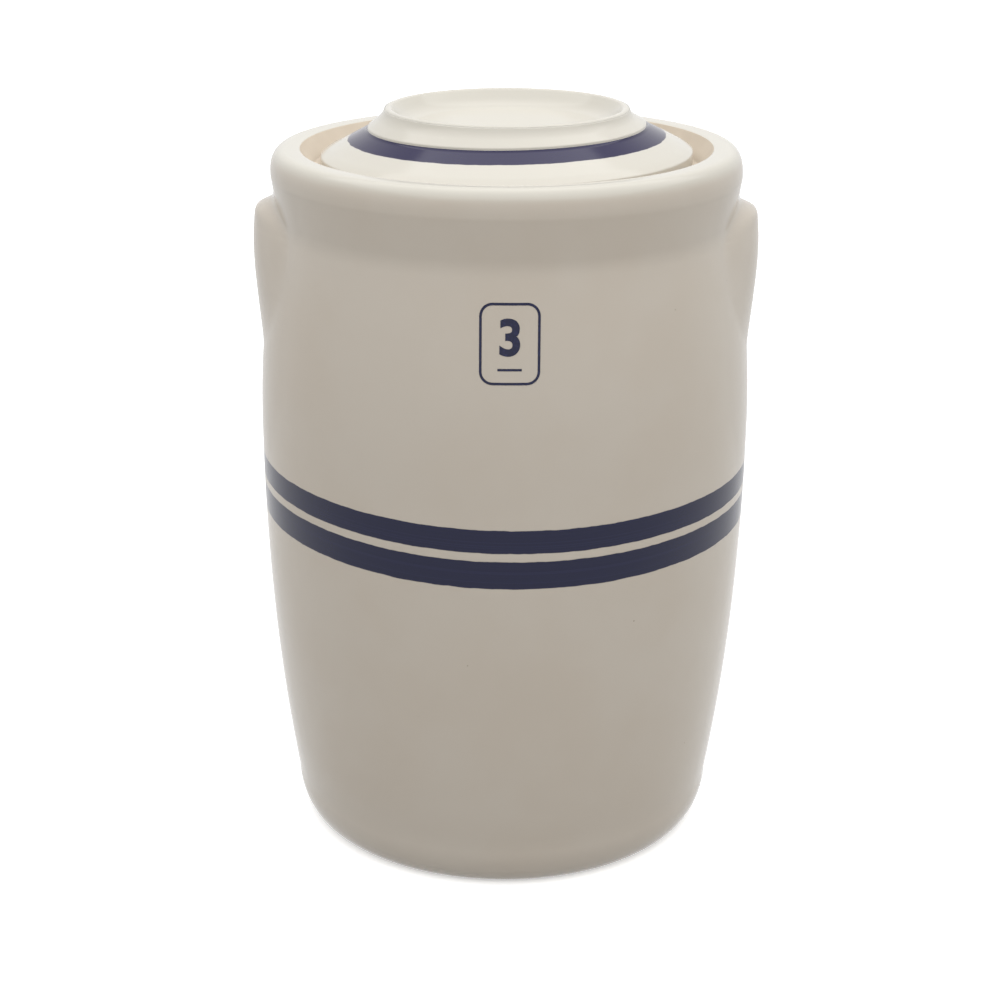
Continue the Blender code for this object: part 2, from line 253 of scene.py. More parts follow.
def makeCobalt(name, inks, across, streakAxis, outline):
    # Cobalt oxide banded on under the same glaze: ink blue with brush streaks and slightly bled edges
    material, tree, shader, place = newMaterial(name, glaze["roughness"], glaze["ior"])
    level = across(tree, place)
    streakPlace = addNode(tree, "ShaderNodeVectorMath", {"operation": "MULTIPLY"}, {
        0: place, 1: streakAxis}).outputs["Vector"]
    along = addNode(tree, "ShaderNodeCombineXYZ", {}, {
        "X": addNode(tree, "ShaderNodeMath", {"operation": "DIVIDE"}, {
            0: level, 1: glaze["brushSize"]}).outputs["Value"]}).outputs["Vector"]
    brushPlace = addNode(tree, "ShaderNodeVectorMath", {"operation": "ADD"}, {
        0: along, 1: streakPlace}).outputs["Vector"]
    brush = addNode(tree, "ShaderNodeTexNoise", {}, {
        "Vector": brushPlace, "Scale": 1.0, "Detail": 2.0, "Roughness": 0.6})
    thin = addNode(tree, "ShaderNodeMapRange", {"interpolation_type": "SMOOTHSTEP"}, {
        "Value": brush.outputs["Fac"], "From Min": 0.50, "From Max": 0.85, "To Max": 0.55})
    ink = addNode(tree, "ShaderNodeMix", {"data_type": "RGBA"}, {
        "Factor": thin.outputs["Result"], "A": hexColour(inks[0]), "B": hexColour(inks[1])})
    wobble = addNode(tree, "ShaderNodeTexNoise", {}, {
        "Vector": place, "Scale": glaze["edgeShake"], "Detail": 2.0})
    shake = addNode(tree, "ShaderNodeMath", {"operation": "MULTIPLY_ADD"}, {
        0: wobble.outputs["Fac"], 1: -2 * glaze["edgeFade"], 2: glaze["edgeFade"]})
    nearest = 1.0
    for edge in outline:
        apart = addNode(tree, "ShaderNodeMath", {"operation": "SUBTRACT"}, {0: level, 1: edge})
        away = addNode(tree, "ShaderNodeMath", {"operation": "ABSOLUTE"}, {0: apart.outputs["Value"]})
        nearest = addNode(tree, "ShaderNodeMath", {"operation": "MINIMUM"}, {
            0: away.outputs["Value"], 1: nearest}).outputs["Value"]
    shaken = addNode(tree, "ShaderNodeMath", {"operation": "ADD"}, {0: nearest, 1: shake.outputs["Value"]})
    cover = addNode(tree, "ShaderNodeMapRange", {"interpolation_type": "SMOOTHSTEP"}, {
        "Value": shaken.outputs["Value"], "From Min": 0.0, "From Max": glaze["edgeFade"]})
    colour = addNode(tree, "ShaderNodeMix", {"data_type": "RGBA"}, {
        "Factor": cover.outputs["Result"], "A": creamColour(tree, place, glaze["cream"], glaze["creamWarm"]),
        "B": ink.outputs["Result"]})
    tree.links.new(colour.outputs["Result"], shader.inputs["Base Color"])
    glazeSkin(tree, shader, place)
    return material


def makeBareStoneware():
    # Fired buff stoneware wiped clean of glaze: dry and sandy, a shade darker where the fire reached it
    material, tree, shader, place = newMaterial("wiped_buff_stoneware", clay["roughness"], clay["ior"])
    blush = addNode(tree, "ShaderNodeTexNoise", {}, {
        "Vector": place, "Scale": clay["blush"], "Detail": 4.0})
    colour = addNode(tree, "ShaderNodeMix", {"data_type": "RGBA"}, {
        "Factor": blush.outputs["Fac"], "A": hexColour(clay["buff"]), "B": hexColour(clay["dark"])})
    tree.links.new(colour.outputs["Result"], shader.inputs["Base Color"])
    grit = addNode(tree, "ShaderNodeTexNoise", {}, {
        "Vector": place, "Scale": 1 / clay["grit"], "Detail": 2.0})
    bump = addNode(tree, "ShaderNodeBump", {}, {
        "Height": grit.outputs["Fac"], "Strength": 0.6, "Distance": clay["gritHeight"]})
    tree.links.new(bump.outputs["Normal"], shader.inputs["Normal"])
    return material


# The crock

crock = {
    "bellyRadius": crockHigh.y,
    "bellyHeight": 0.2145,
    "footRadius": 0.1063,
    "bellyPower": 2.25,
    "neckRadius": 0.1126,
    "neckSweep": 0.0042,
    "shoulderPower": 2.0,
    "footRound": (0.0118, 0.0228),
    "footRingWidth": 0.0130,
    "footRecess": 0.0025,
    "rimRadius": 0.1161,
    "rimHeight": 0.0362,
    "rimCrestInset": 0.0078,
    "rimBulge": 0.0241,
    "rimUnder": (0.0120, 12),    # its belly turns under on this radius, by this many degrees
    "rimRoll": (0.0070, 0.0006),
    "rimTilt": 0.007,            # it dried a little lower on the left
    "rimTiltStart": 0.001,       # the tilt begins this far above the lid's seat
    "rimSquare": 0.84,           # under 1 its top is flatter and its shoulder tighter
    "wall": 0.0110,
    "floor": 0.0120,
    "insideCorner": 0.0200,
    "collarDepth": 0.0090,
    "collarRun": 0.0320,
    "mouthRadius": 0.0869,
    "seatDepth": 0.0101,
    "seatRadius": 0.0944,
    "seatRound": 0.0010,
    "wipedRadius": 0.1014,       # the glaze is wiped off the seat and the rim's inner side
    "wipedBelow": 0.0004,
    "bareFoot": 0.0012,          # the foot ring is bare up to this height
    "bareRecess": (0.09, 0.001),  # and so is the recess, within this radius and this far above it
    "skin": 0.001,               # a point this near the wall's radius lies on its outside
    "segments": 288,
}
bands = {
    "lower": (0.1685, 0.1827),
    "upper": (0.1863, 0.1983),
    "tilt": 0.0100,      # the banding wheel ran a little off level
    "dip": 0.0026,       # and the brush sank towards the front
    "dipPower": 3.2,
    "rise": 0.0020,
    "swayReach": 0.06,   # the wall's points above and below follow the bands over this height
    "swayFirm": 1.6,     # over 1 the points near the bands follow them in full
}
ears = {
    "belowNeck": 0.0153,
    "bury": 0.0051,
    "projection": 0.01038,
    "rise": 0.0240,
    "fall": 0.0500,
    "topPower": 3.4,
    "bottomPower": 1.8,
    "luting": 0.0100,    # the smoothed fillet where the lug was pressed on
    "spread": 0.0480,    # how far round the wall the clay was drawn out
    "leastArch": 0.04,   # keeps the ends of the arch from running out to nothing
    "swell": 1.4,        # over 1 the lug is fuller in its middle
    "fade": 2.0,         # how quickly it sinks into the wall past its outline
    "leastLift": 0.00002,
    "strokes": 8,        # passes of the wet finger that smoothed it
}
neckHeight = crockHigh.z - crock["rimHeight"]
rimBulge = neckHeight + crock["rimBulge"]
crestRadius = crock["rimRadius"] - crock["rimCrestInset"]
seatHeight = crockHigh.z - crock["seatDepth"]
earHeight = neckHeight - ears["belowNeck"]


def wallRadius(height):
    if height < crock["bellyHeight"]:
        share = (crock["bellyHeight"] - height) / crock["bellyHeight"]
        end, power = crock["footRadius"], crock["bellyPower"]
    else:
        share = (height - crock["bellyHeight"]) / (neckHeight - crock["bellyHeight"])
        end, power = crock["neckRadius"], crock["shoulderPower"]
    return crock["bellyRadius"] - (crock["bellyRadius"] - end) * share ** power


def insideSection():
    # Floor, wall, collar and lid seat, from the middle of the floor up to the rim's crest
    corner = crock["insideCorner"]
    cornerHeight = crock["floor"] + corner
    cornerRadius = wallRadius(cornerHeight) - crock["wall"]
    collarFoot = seatHeight - crock["collarDepth"] - crock["collarRun"]
    collarStart = wallRadius(collarFoot) - crock["wall"]
    points = [(radius, crock["floor"]) for radius in spread(0.0, cornerRadius - corner, 6)[:-1]]
    points += arcPoints((cornerRadius - corner, cornerHeight), (corner, corner), -90, 0, 10)
    for height in spread(cornerHeight, collarFoot, 20)[1:]:
        points.append((wallRadius(height) - crock["wall"], height))
    for share in spread(0.0, 1.0, 14)[1:]:
        ease = (1 - cos(pi * share)) / 2
        radius = collarStart + (crock["mouthRadius"] - collarStart) * ease
        points.append((radius, collarFoot + crock["collarRun"] * share))
    seatRound = crock["seatRound"]
    points += arcPoints((crock["mouthRadius"] + seatRound, seatHeight - seatRound), (seatRound, seatRound),
                        180, 90, 5)
    points.append((crock["seatRadius"] - seatRound, seatHeight))
    points += arcPoints((crock["seatRadius"], seatHeight + seatRound), (seatRound, seatRound), -90, -45, 3)
    roll = crock["rimRoll"]
    points += arcPoints((crestRadius, crockHigh.z - roll[1]), roll, 180, 90, 16)
    return points


def outsideSection():
    # Rolled rim, hollow neck, bellied wall and tucked foot, from the rim's crest down to the table
    points = []
    for angle in spread(pi / 2, 0.0, 20):
        points.append((crestRadius + crock["rimCrestInset"] * max(cos(angle), 0.0) ** crock["rimSquare"],
                       rimBulge + (crockHigh.z - rimBulge) * sin(angle) ** crock["rimSquare"]))
    under, turn = crock["rimUnder"]
    points += arcPoints((crock["rimRadius"] - under, rimBulge), (under, under), 0, -turn, 6)[1:]
    wallTop = neckHeight - crock["neckSweep"]
    neck = softCorner(points[-1], (crock["neckRadius"], neckHeight), (wallRadius(wallTop), wallTop),
                      crock["neckSweep"], 12)
    points += alongLine(points[-1], neck[0], 24)[1:-1] + neck
    earFoot = earHeight - ears["fall"]
    levels = spread(wallTop, earFoot, 54)[1:]
    levels += spread(earFoot, bands["upper"][1], 8)[1:]
    levels += spread(*reversed(bands["upper"]), 6)[1:]
    levels += spread(bands["upper"][0], bands["lower"][1], 2)[1:]
    levels += spread(*reversed(bands["lower"]), 6)[1:]
    levels += spread(bands["lower"][0], crock["footRound"][1], 24)[1:]
    points += [(wallRadius(height), height) for height in levels]
    foot = crock["footRound"]
    footEdge = wallRadius(foot[1]) - foot[0]
    points += arcPoints((footEdge, foot[1]), foot, 0, -90, 16)[1:]
    ringInner, recess = footEdge - crock["footRingWidth"], crock["footRecess"]
    points.append((ringInner, 0.0))
    points += [(radius, recess) for radius in spread(ringInner - recess, 0.0, 8)]
    return points


def softMax(first, second, blend):
    share = max(blend - abs(first - second), 0.0) / blend
    return max(first, second) + share * share * blend / 4


def raiseEars(shape):
    # Each lug swells out of the wall and is smoothed into it all round
    root = wallRadius(earHeight) - ears["bury"]
    depth = ears["bury"] + ears["projection"]
    lugs = []
    for vertex in shape.verts:
        x, y, z = vertex.co
        if abs(y) > ears["spread"] or hypot(x, y) < wallRadius(z) - crock["wall"] / 2:
            continue
        rising = z > earHeight
        arch = max(1 - (y / ears["spread"]) ** 2, ears["leastArch"])
        level = abs(z - earHeight) / (arch ** 0.5 * (ears["rise"] if rising else ears["fall"]))
        power = ears["topPower"] if rising else ears["bottomPower"]
        ring = (1 - min(level, 1.0) ** power) ** (1 / power) - ears["fade"] * max(level - 1, 0.0)
        lift = softMax(root + depth * ring - wallRadius(z), 0.0, ears["luting"])
        if lift > ears["leastLift"]:
            vertex.co.x += lift * arch ** ears["swell"] * (1 if x > 0 else -1)
            lugs.append(vertex)
    for stroke in range(ears["strokes"]):
        bmesh.ops.smooth_vert(shape, verts=lugs, factor=0.5, use_axis_x=True)


def makeCrock():
    shape = turnSection(insideSection() + outsideSection()[1:], False, crock["segments"])
    recessRadius, recessAbove = crock["bareRecess"]
    for face in shape.faces:
        middle = face.calc_center_median()
        radius = hypot(middle.x, middle.y)
        outer = radius > wallRadius(middle.z) - crock["skin"]
        onBand = any(low < middle.z < high for low, high in (bands["lower"], bands["upper"]))
        wiped = middle.z > seatHeight - crock["wipedBelow"] and radius < crock["wipedRadius"]
        recess = middle.z < crock["footRecess"] + recessAbove and radius < recessRadius
        if outer and onBand:
            face.material_index = 1
        elif middle.z < crock["bareFoot"] or recess or wiped:
            face.material_index = 2
    levels = shape.verts.layers.float.new("bandLevel")
    middle = (bands["lower"][1] + bands["upper"][0]) / 2
    for vertex in shape.verts:
        vertex[levels] = vertex.co.z
        near = min(bands["swayFirm"] * (1 - abs(vertex.co.z - middle) / bands["swayReach"]), 1.0)
        if near > 0 and hypot(vertex.co.x, vertex.co.y) > wallRadius(vertex.co.z) - crock["skin"]:
            ease = smoothStep(near)
            angle = atan2(vertex.co.y, vertex.co.x)
            facing = max(-vertex.co.y / crock["bellyRadius"], 0.0)
            sway = bands["rise"] - bands["dip"] * facing ** bands["dipPower"] - bands["tilt"] * vertex.co.x
            vertex.co.z += sway * ease
            radius = wallRadius(vertex.co.z)
            vertex.co.x, vertex.co.y = radius * cos(angle), radius * sin(angle)
    raiseEars(shape)
    for vertex in shape.verts:
        above = vertex.co.z - seatHeight - crock["rimTiltStart"]
        vertex.co.z += crock["rimTilt"] * vertex.co.x * clampShare(above / (crockHigh.z - seatHeight))
    bmesh.ops.recalc_face_normals(shape, faces=shape.faces)
    return shape


def bandLevel(tree, place):
    # Height across the swaying bands, kept on the mesh
    return addNode(tree, "ShaderNodeAttribute", {"attribute_name": "bandLevel"}).outputs["Fac"]


def ringLevel(tree, place):
    # Distance from the churn's axis
    flat = addNode(tree, "ShaderNodeVectorMath", {"operation": "MULTIPLY"}, {0: place, 1: (1.0, 1.0, 0.0)})
    return addNode(tree, "ShaderNodeVectorMath", {"operation": "LENGTH"}, {
        0: flat.outputs["Vector"]}).outputs["Value"]


creamGlaze = makeCreamGlaze("cream_feldspar_glaze", glaze["cream"], glaze["creamWarm"])
bareStoneware = makeBareStoneware()
bandCobalt = makeCobalt("banded_cobalt_underglaze", (glaze["cobalt"], glaze["cobaltWashed"]), bandLevel,
                        (2.0, 2.0, 0.0), bands["lower"] + bands["upper"])
print("materials ready")
crockPiece = finishPiece("glazedCrock", makeCrock(), [creamGlaze, bandCobalt, bareStoneware],
                         "crock_body", ("crock", "ear_left", "ear_right"))


# The lid

lid = {
    "radius": lidHigh.y,
    "edgeThickness": 0.0072,
    "edgeRound": 0.0012,
    "wall": 0.0085,
    "tierRadius": 0.0682,
    "tierBase": 0.0189,
    "tierEdge": 0.0010,
    "tierRound": 0.0006,
    "cupRadius": 0.0602,
    "cupHeight": 0.0096,
    "cupLean": 20,            # how far its side leans out below the lip, in degrees
    "cupFoot": 0.0610,
    "cupSweep": 0.0034,
    "lip": 0.0048,
    "dishDepth": 0.0077,
    "dishAngle": 47,
    "dishSweep": 0.0050,
    "dishFall": 0.0048,
    "spigotWidth": 0.0060,
    "spigotDepth": 0.0070,
    "spigotRadius": 0.0861,
    "spigotEase": 0.0004,
    "holeRadius": 0.0160,
    "drainRound": 0.00125,
    "ringOuter": 0.0782,      # outer edge of the blue ring; the tier is its inner edge
    "ringSlope": 0.3,         # only faces that look up more than this are blue
    "bareAbove": 0.0004,      # the spigot is bare, and the glaze starts this far above the flange's underside
    "lean": 0.020,            # the shoulder was thrown a little off level
    "leanFrom": (0.001, 0.005),  # it starts this far above the flange's underside and grows over this height
    "cupLevel": 0.7,          # share of the lean that the cup lacks
    "segments": 256,
}
lidBase = lidLow.z + lid["spigotDepth"]


def lidSection():
    half = lid["lip"] / 2
    lean, rise = radians(lid["cupLean"]), radians(lid["dishAngle"])
    lipTop = lid["tierBase"] + lid["cupHeight"]
    lip = arcPoints((lid["cupRadius"] - half * cos(lean), lipTop - half), (half, half),
                    90 + lid["dishAngle"], lid["cupLean"], 14)
    dishFloor = lipTop - lid["dishDepth"]
    dishEdge = lip[0][0] - (lip[0][1] - dishFloor) / tan(rise)
    drain = dishFloor - lid["dishFall"]
    drainRound = lid["drainRound"]
    points = arcPoints((lid["holeRadius"] + drainRound, drain - drainRound), (drainRound, drainRound),
                       180, 90, 5)
    dish = softCorner(points[-1], (dishEdge, dishFloor), lip[0], lid["dishSweep"], 10)
    points += alongLine(points[-1], dish[0], 7)[1:-1] + dish
    points += alongLine(dish[-1], lip[0], 5)[1:-1] + lip
    cupFoot = (lid["cupFoot"], lip[-1][1] - (lid["cupFoot"] - lid["cupRadius"]) / tan(lean))
    tierEdge = (lid["tierRadius"], lid["tierBase"] + lid["tierEdge"])
    points += softCorner(lip[-1], cupFoot, tierEdge, lid["cupSweep"], 8)
    points += softCorner(cupFoot, tierEdge, (lid["tierRadius"], lid["tierBase"]), lid["tierRound"], 5)
    points.append((lid["tierRadius"], lid["tierBase"]))
    fall = (lid["edgeThickness"] - lid["tierBase"]) / (lid["radius"] - lid["tierRadius"])
    for radius in [*spread(lid["tierRadius"], lid["ringOuter"], 5)[1:],
                   *spread(lid["ringOuter"], lid["radius"] - lid["edgeRound"], 6)[1:-1]]:
        points.append((radius, lid["tierBase"] + fall * (radius - lid["tierRadius"])))
    edge = lid["edgeRound"]
    turn = degrees(atan2(lid["radius"] - lid["tierRadius"], lid["tierBase"] - lid["edgeThickness"]))
    points += arcPoints((lid["radius"] - edge, lid["edgeThickness"] - edge), (edge, edge), turn, 0, 8)
    points += arcPoints((lid["radius"] - edge / 2, edge / 2), (edge / 2, edge / 2), 0, -90, 4)
    spigot = lid["spigotRadius"]
    inner = spigot - lid["spigotWidth"]
    points += [(spigot + lid["spigotEase"], 0.0), (spigot, -lid["spigotEase"])]
    points += arcPoints((spigot - edge, edge - lid["spigotDepth"]), (edge, edge), 0, -90, 6)
    points += arcPoints((inner + edge, edge - lid["spigotDepth"]), (edge, edge), 270, 180, 6)
    points.append((inner - edge, lid["edgeThickness"] / 2))
    points.append((lid["tierRadius"] - lid["wall"], lid["tierBase"] - lid["wall"]))
    points.append((lid["cupRadius"] - lid["lip"], dishFloor - lid["wall"]))
    points.append((lid["holeRadius"], drain - lid["wall"]))
    return [(radius, lidBase + height) for radius, height in points]


def makeLid():
    shape = turnSection(lidSection(), True, lid["segments"])
    for face in shape.faces:
        middle = face.calc_center_median()
        radius = hypot(middle.x, middle.y)
        if lid["tierRadius"] < radius < lid["ringOuter"] and face.normal.z > lid["ringSlope"]:
            face.material_index = 1
        elif radius > lid["spigotRadius"] - lid["spigotWidth"] and middle.z < lidBase + lid["bareAbove"]:
            face.material_index = 2
    start, run = lid["leanFrom"]
    for vertex in shape.verts:
        above = clampShare((vertex.co.z - lidBase - start) / run)
        radius = hypot(vertex.co.x, vertex.co.y)
        inward = clampShare((lid["tierRadius"] - radius) / (lid["tierRadius"] - lid["cupRadius"]))
        vertex.co.z += lid["lean"] * vertex.co.x * above * (1 - lid["cupLevel"] * smoothStep(inward))
    return shape


ringCobalt = makeCobalt("brushed_cobalt_ring", (glaze["ringCobalt"], glaze["ringWashed"]), ringLevel,
                        (9.0, 9.0, 0.0), (lid["ringOuter"],))
# The lid's glaze takes the cream painted whiter and cooler for the light from above: painted light
lidGlaze = makeCreamGlaze("cream_lid_glaze", glaze["toplitCream"], glaze["toplitCreamWarm"])
lidPiece = finishPiece("glazedLid", makeLid(), [lidGlaze, ringCobalt, bareStoneware], "lid_body", ("lid",))


# The capacity mark on the front: a plain numeral in a thin frame

mark = {
    "height": 0.2850,     # its middle above the table
    "side": 0.0018,
    "frame": (0.0276, 0.0368),
    "corner": 0.0060,
    "line": 0.0012,
    "numeral": "3",
    "numeralHeight": 0.0170,
    "numeralRise": 0.0030,
    "weight": 0.028,
    "rule": (0.0110, 0.0011),
    "ruleDrop": 0.0115,
    "lift": 0.00008,      # it shows through the glaze, so it stands almost flush
    "grid": 0.0010,       # width of the strips that bend round the wall
    "patches": 700.0,     # thin spots of ink per metre
}


def roundedPlate(shape, size, corner):
    made = bmesh.ops.create_grid(shape, x_segments=1, y_segments=1, size=0.5)
    bmesh.ops.scale(shape, vec=(*size, 1.0), verts=made["verts"])
    if corner:
        bmesh.ops.bevel(shape, geom=made["verts"], offset=corner, segments=8, profile=0.5,
                        affect="VERTICES", material=-1)


def makeMark():
    shape = bmesh.new()
    roundedPlate(shape, mark["frame"], mark["corner"])
    plate = shape.faces[:]
    bmesh.ops.inset_region(shape, faces=plate, thickness=mark["line"], use_even_offset=True,
                           use_boundary=True)
    bmesh.ops.delete(shape, geom=plate, context="FACES")
    rule = bmesh.new()
    roundedPlate(rule, mark["rule"], 0.0)
    bmesh.ops.translate(rule, vec=(0, -mark["ruleDrop"], 0), verts=rule.verts)
    ruleMesh = bpy.data.meshes.new("rule")
    rule.to_mesh(ruleMesh)
    rule.free()
    shape.from_mesh(ruleMesh)
    bpy.data.meshes.remove(ruleMesh)

    letter = bpy.data.curves.new("numeral", "FONT")
    letter.body = mark["numeral"]
    letter.offset = mark["weight"]
    letter.resolution_u = 16
    holder = bpy.data.objects.new("numeral", letter)
    bpy.context.scene.collection.objects.link(holder)
    bpy.context.view_layer.update()
    glyph = bpy.data.meshes.new_from_object(holder.evaluated_get(bpy.context.evaluated_depsgraph_get()))
    bpy.data.objects.remove(holder)
    low = [min(vertex.co[axis] for vertex in glyph.vertices) for axis in (0, 1)]
    high = [max(vertex.co[axis] for vertex in glyph.vertices) for axis in (0, 1)]
    size = mark["numeralHeight"] / (high[1] - low[1])
    glyph.transform(Matrix.Translation((-(low[0] + high[0]) / 2, -(low[1] + high[1]) / 2, 0)))
    glyph.transform(Matrix.Translation((0, mark["numeralRise"], 0)) @ Matrix.Scale(size, 4))
    shape.from_mesh(glyph)
    bpy.data.meshes.remove(glyph)

    # Cut into narrow strips so that it bends round the wall, then laid on it
    steps = int(mark["frame"][1] / mark["grid"] / 2) + 1
    for step in range(-steps, steps + 1):
        for normal in ((1, 0, 0), (0, 1, 0)):
            cutAcross(shape, Vector(normal) * step * mark["grid"], normal)
    bmesh.ops.rotate(shape, cent=(0, 0, 0), matrix=Matrix.Rotation(pi / 2, 3, "X"), verts=shape.verts)
    for vertex in shape.verts:
        height = vertex.co.z + mark["height"]
        side = vertex.co.x + mark["side"]
        reach = wallRadius(height) + mark["lift"]
        vertex.co = (side, -sqrt(reach ** 2 - side ** 2), height)
    return shape


def makeMarkInk():
    # The same cobalt, stamped: even ink blue under the glaze
    material, tree, shader, place = newMaterial("stamped_cobalt", glaze["roughness"], glaze["ior"])
    patch = addNode(tree, "ShaderNodeTexNoise", {}, {
        "Vector": place, "Scale": mark["patches"], "Detail": 2.0})
    thin = addNode(tree, "ShaderNodeMapRange", {"interpolation_type": "SMOOTHSTEP"}, {
        "Value": patch.outputs["Fac"], "From Min": 0.45, "From Max": 0.8, "To Max": 0.6})
    colour = addNode(tree, "ShaderNodeMix", {"data_type": "RGBA"}, {
        "Factor": thin.outputs["Result"], "A": hexColour(glaze["cobalt"]),
        "B": hexColour(glaze["cobaltWashed"])})
    tree.links.new(colour.outputs["Result"], shader.inputs["Base Color"])
    glazeSkin(tree, shader, place)
    return material


finishPiece("capacityMark", makeMark(), [makeMarkInk()], "crock_body")


# The dasher that stands inside

dasher = {
    "staffRadius": staffHigh.y,
    "tenonRadius": 0.0080,
    "socketRadius": 0.0060,
    "socketDepth": 0.0300,
    "chamfer": 0.0015,
    "ease": 0.0008,       # the sharper edges are only broken this much
    "tenonChamfer": 0.001,
    "shoulder": 0.0216,   # above the staff's foot
    "slatWidth": 0.0380,
    "corner": 0.0110,
    "lapClearance": 0.0003,
    "boreRadius": 0.0083,
    "flowRadius": 0.0070,
    "flowFirst": 0.0580,
    "flowSpacing": 0.0220,
    "pegEase": 0.0006,
    "segments": 64,
    "holeSegments": 48,
    "pegSegments": 40,
}
wood = {
    "maple": "#b98f62",
    "mapleDark": "#a07648",
    "oak": "#7b5433",
    "oakDark": "#5d3d22",
    "roughness": 0.55,
    "ior": 1.5,
    "ringWidth": 0.0035,  # growth rings
    "poreWidth": 0.0006,
    "poreDepth": 0.00015,
    "stretch": 0.05,      # the grain's width as a share of its length
}


def makeWood(name, light, dark, along):
    # Oiled hardwood, planed and sanded: satin, with grain lines drawn out along the piece
    material, tree, shader, place = newMaterial(name, wood["roughness"], wood["ior"])
    scale = [1.0, 1.0, 1.0]
    scale[along] = wood["stretch"]
    grainPlace = addNode(tree, "ShaderNodeMapping", {}, {"Vector": place, "Scale": scale}).outputs["Vector"]
    rings = addNode(tree, "ShaderNodeTexNoise", {}, {
        "Vector": grainPlace, "Scale": 1 / wood["ringWidth"], "Detail": 3.0, "Distortion": 0.4})
    pores = addNode(tree, "ShaderNodeTexNoise", {}, {
        "Vector": grainPlace, "Scale": 1 / wood["poreWidth"], "Detail": 1.0})
    tone = addNode(tree, "ShaderNodeMapRange", {"interpolation_type": "SMOOTHSTEP"}, {
        "Value": rings.outputs["Fac"], "From Min": 0.35, "From Max": 0.65})
    base = addNode(tree, "ShaderNodeMix", {"data_type": "RGBA"}, {
        "Factor": tone.outputs["Result"], "A": hexColour(light), "B": hexColour(dark)})
    deep = addNode(tree, "ShaderNodeMapRange", {}, {
        "Value": pores.outputs["Fac"], "From Min": 0.55, "From Max": 0.75, "To Max": 0.35})
    colour = addNode(tree, "ShaderNodeMix", {"data_type": "RGBA"}, {
        "Factor": deep.outputs["Result"], "A": base.outputs["Result"], "B": hexColour(wood["oakDark"])})
    tree.links.new(colour.outputs["Result"], shader.inputs["Base Color"])
    bump = addNode(tree, "ShaderNodeBump", {}, {
        "Height": pores.outputs["Fac"], "Strength": 0.4, "Distance": wood["poreDepth"]})
    tree.links.new(bump.outputs["Normal"], shader.inputs["Normal"])
    return material


def makeStaff():
    base, top = staffLow.z, staffHigh.z
    radius, tenon, socket = dasher["staffRadius"], dasher["tenonRadius"], dasher["socketRadius"]
    chamfer, ease, foot = dasher["chamfer"], dasher["ease"], dasher["tenonChamfer"]
    floor = top - dasher["socketDepth"]
    points = [(0.0, floor), (socket - ease, floor), (socket, floor + ease)]
    points += arcPoints((socket + chamfer, top - chamfer), (chamfer, chamfer), 180, 90, 6)
    points += arcPoints((radius - chamfer, top - chamfer), (chamfer, chamfer), 90, 0, 6)
    shoulder = base + dasher["shoulder"]
    points += [(radius, height) for height in spread(top - chamfer, shoulder + ease, 12)[1:]]
    points += [(radius - ease, shoulder), (tenon, shoulder), (tenon, base + foot), (tenon - foot, base),
               (0.0, base)]
    return turnSection(points, False, dasher["segments"])


def makeSlat(node, lapOnTop):
    # Sawn outline with its bores, thickened in two halves so that the lap is left out of one
    low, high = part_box(node)
    along = high.x - low.x > high.y - low.y
    length = max(high.x - low.x, high.y - low.y)
    half = (high.z - low.z) / 2
    shape = bmesh.new()
    roundedPlate(shape, (length, dasher["slatWidth"]), dasher["corner"])
    bmesh.ops.delete(shape, geom=shape.faces[:], context="FACES_ONLY")
    holes = [(0.0, dasher["boreRadius"])]
    for arm in (-1, 1):
        for hole in range(2):
            holes.append((arm * (dasher["flowFirst"] - hole * dasher["flowSpacing"]), dasher["flowRadius"]))
    for place, radius in holes:
        bmesh.ops.create_circle(shape, cap_ends=False, segments=dasher["holeSegments"], radius=radius,
                                matrix=Matrix.Translation((place, 0, 0)))
    bmesh.ops.triangle_fill(shape, use_beauty=True, use_dissolve=False, edges=shape.edges[:])
    lap = dasher["slatWidth"] / 2 + dasher["lapClearance"]
    for side in (-1, 1):
        cutAcross(shape, (side * lap, 0, 0), (1, 0, 0))
    first = bmesh.ops.extrude_face_region(shape, geom=shape.faces[:])
    raised = [item for item in first["geom"] if isinstance(item, bmesh.types.BMVert)]
    bmesh.ops.translate(shape, vec=(0, 0, half - dasher["lapClearance"] / 2), verts=raised)
    tops = [item for item in first["geom"] if isinstance(item, bmesh.types.BMFace)]
    arms = [face for face in tops if abs(face.calc_center_median().x) > lap]
    second = bmesh.ops.extrude_face_region(shape, geom=arms)
    raised = [item for item in second["geom"] if isinstance(item, bmesh.types.BMVert)]
    bmesh.ops.translate(shape, vec=(0, 0, half + dasher["lapClearance"] / 2), verts=raised)
    bmesh.ops.recalc_face_normals(shape, faces=shape.faces)
    bmesh.ops.dissolve_limit(shape, angle_limit=radians(1), verts=shape.verts, edges=shape.edges)
    outer = [edge for edge in shape.edges
             if len(edge.link_faces) == 2 and edge.calc_face_angle() > radians(60) and isLevel(edge)]
    bmesh.ops.bevel(shape, geom=outer, offset=dasher["ease"], segments=3, profile=0.5, affect="EDGES",
                    material=-1)
    turn = Matrix.Identity(4)
    if not lapOnTop:
        turn = Matrix.Translation((0, 0, 2 * half)) @ Matrix.Rotation(pi, 4, "X")
    if not along:
        turn = Matrix.Rotation(pi / 2, 4, "Z") @ turn
    bmesh.ops.transform(shape, matrix=Matrix.Translation((0, 0, low.z)) @ turn, verts=shape.verts)
    return shape


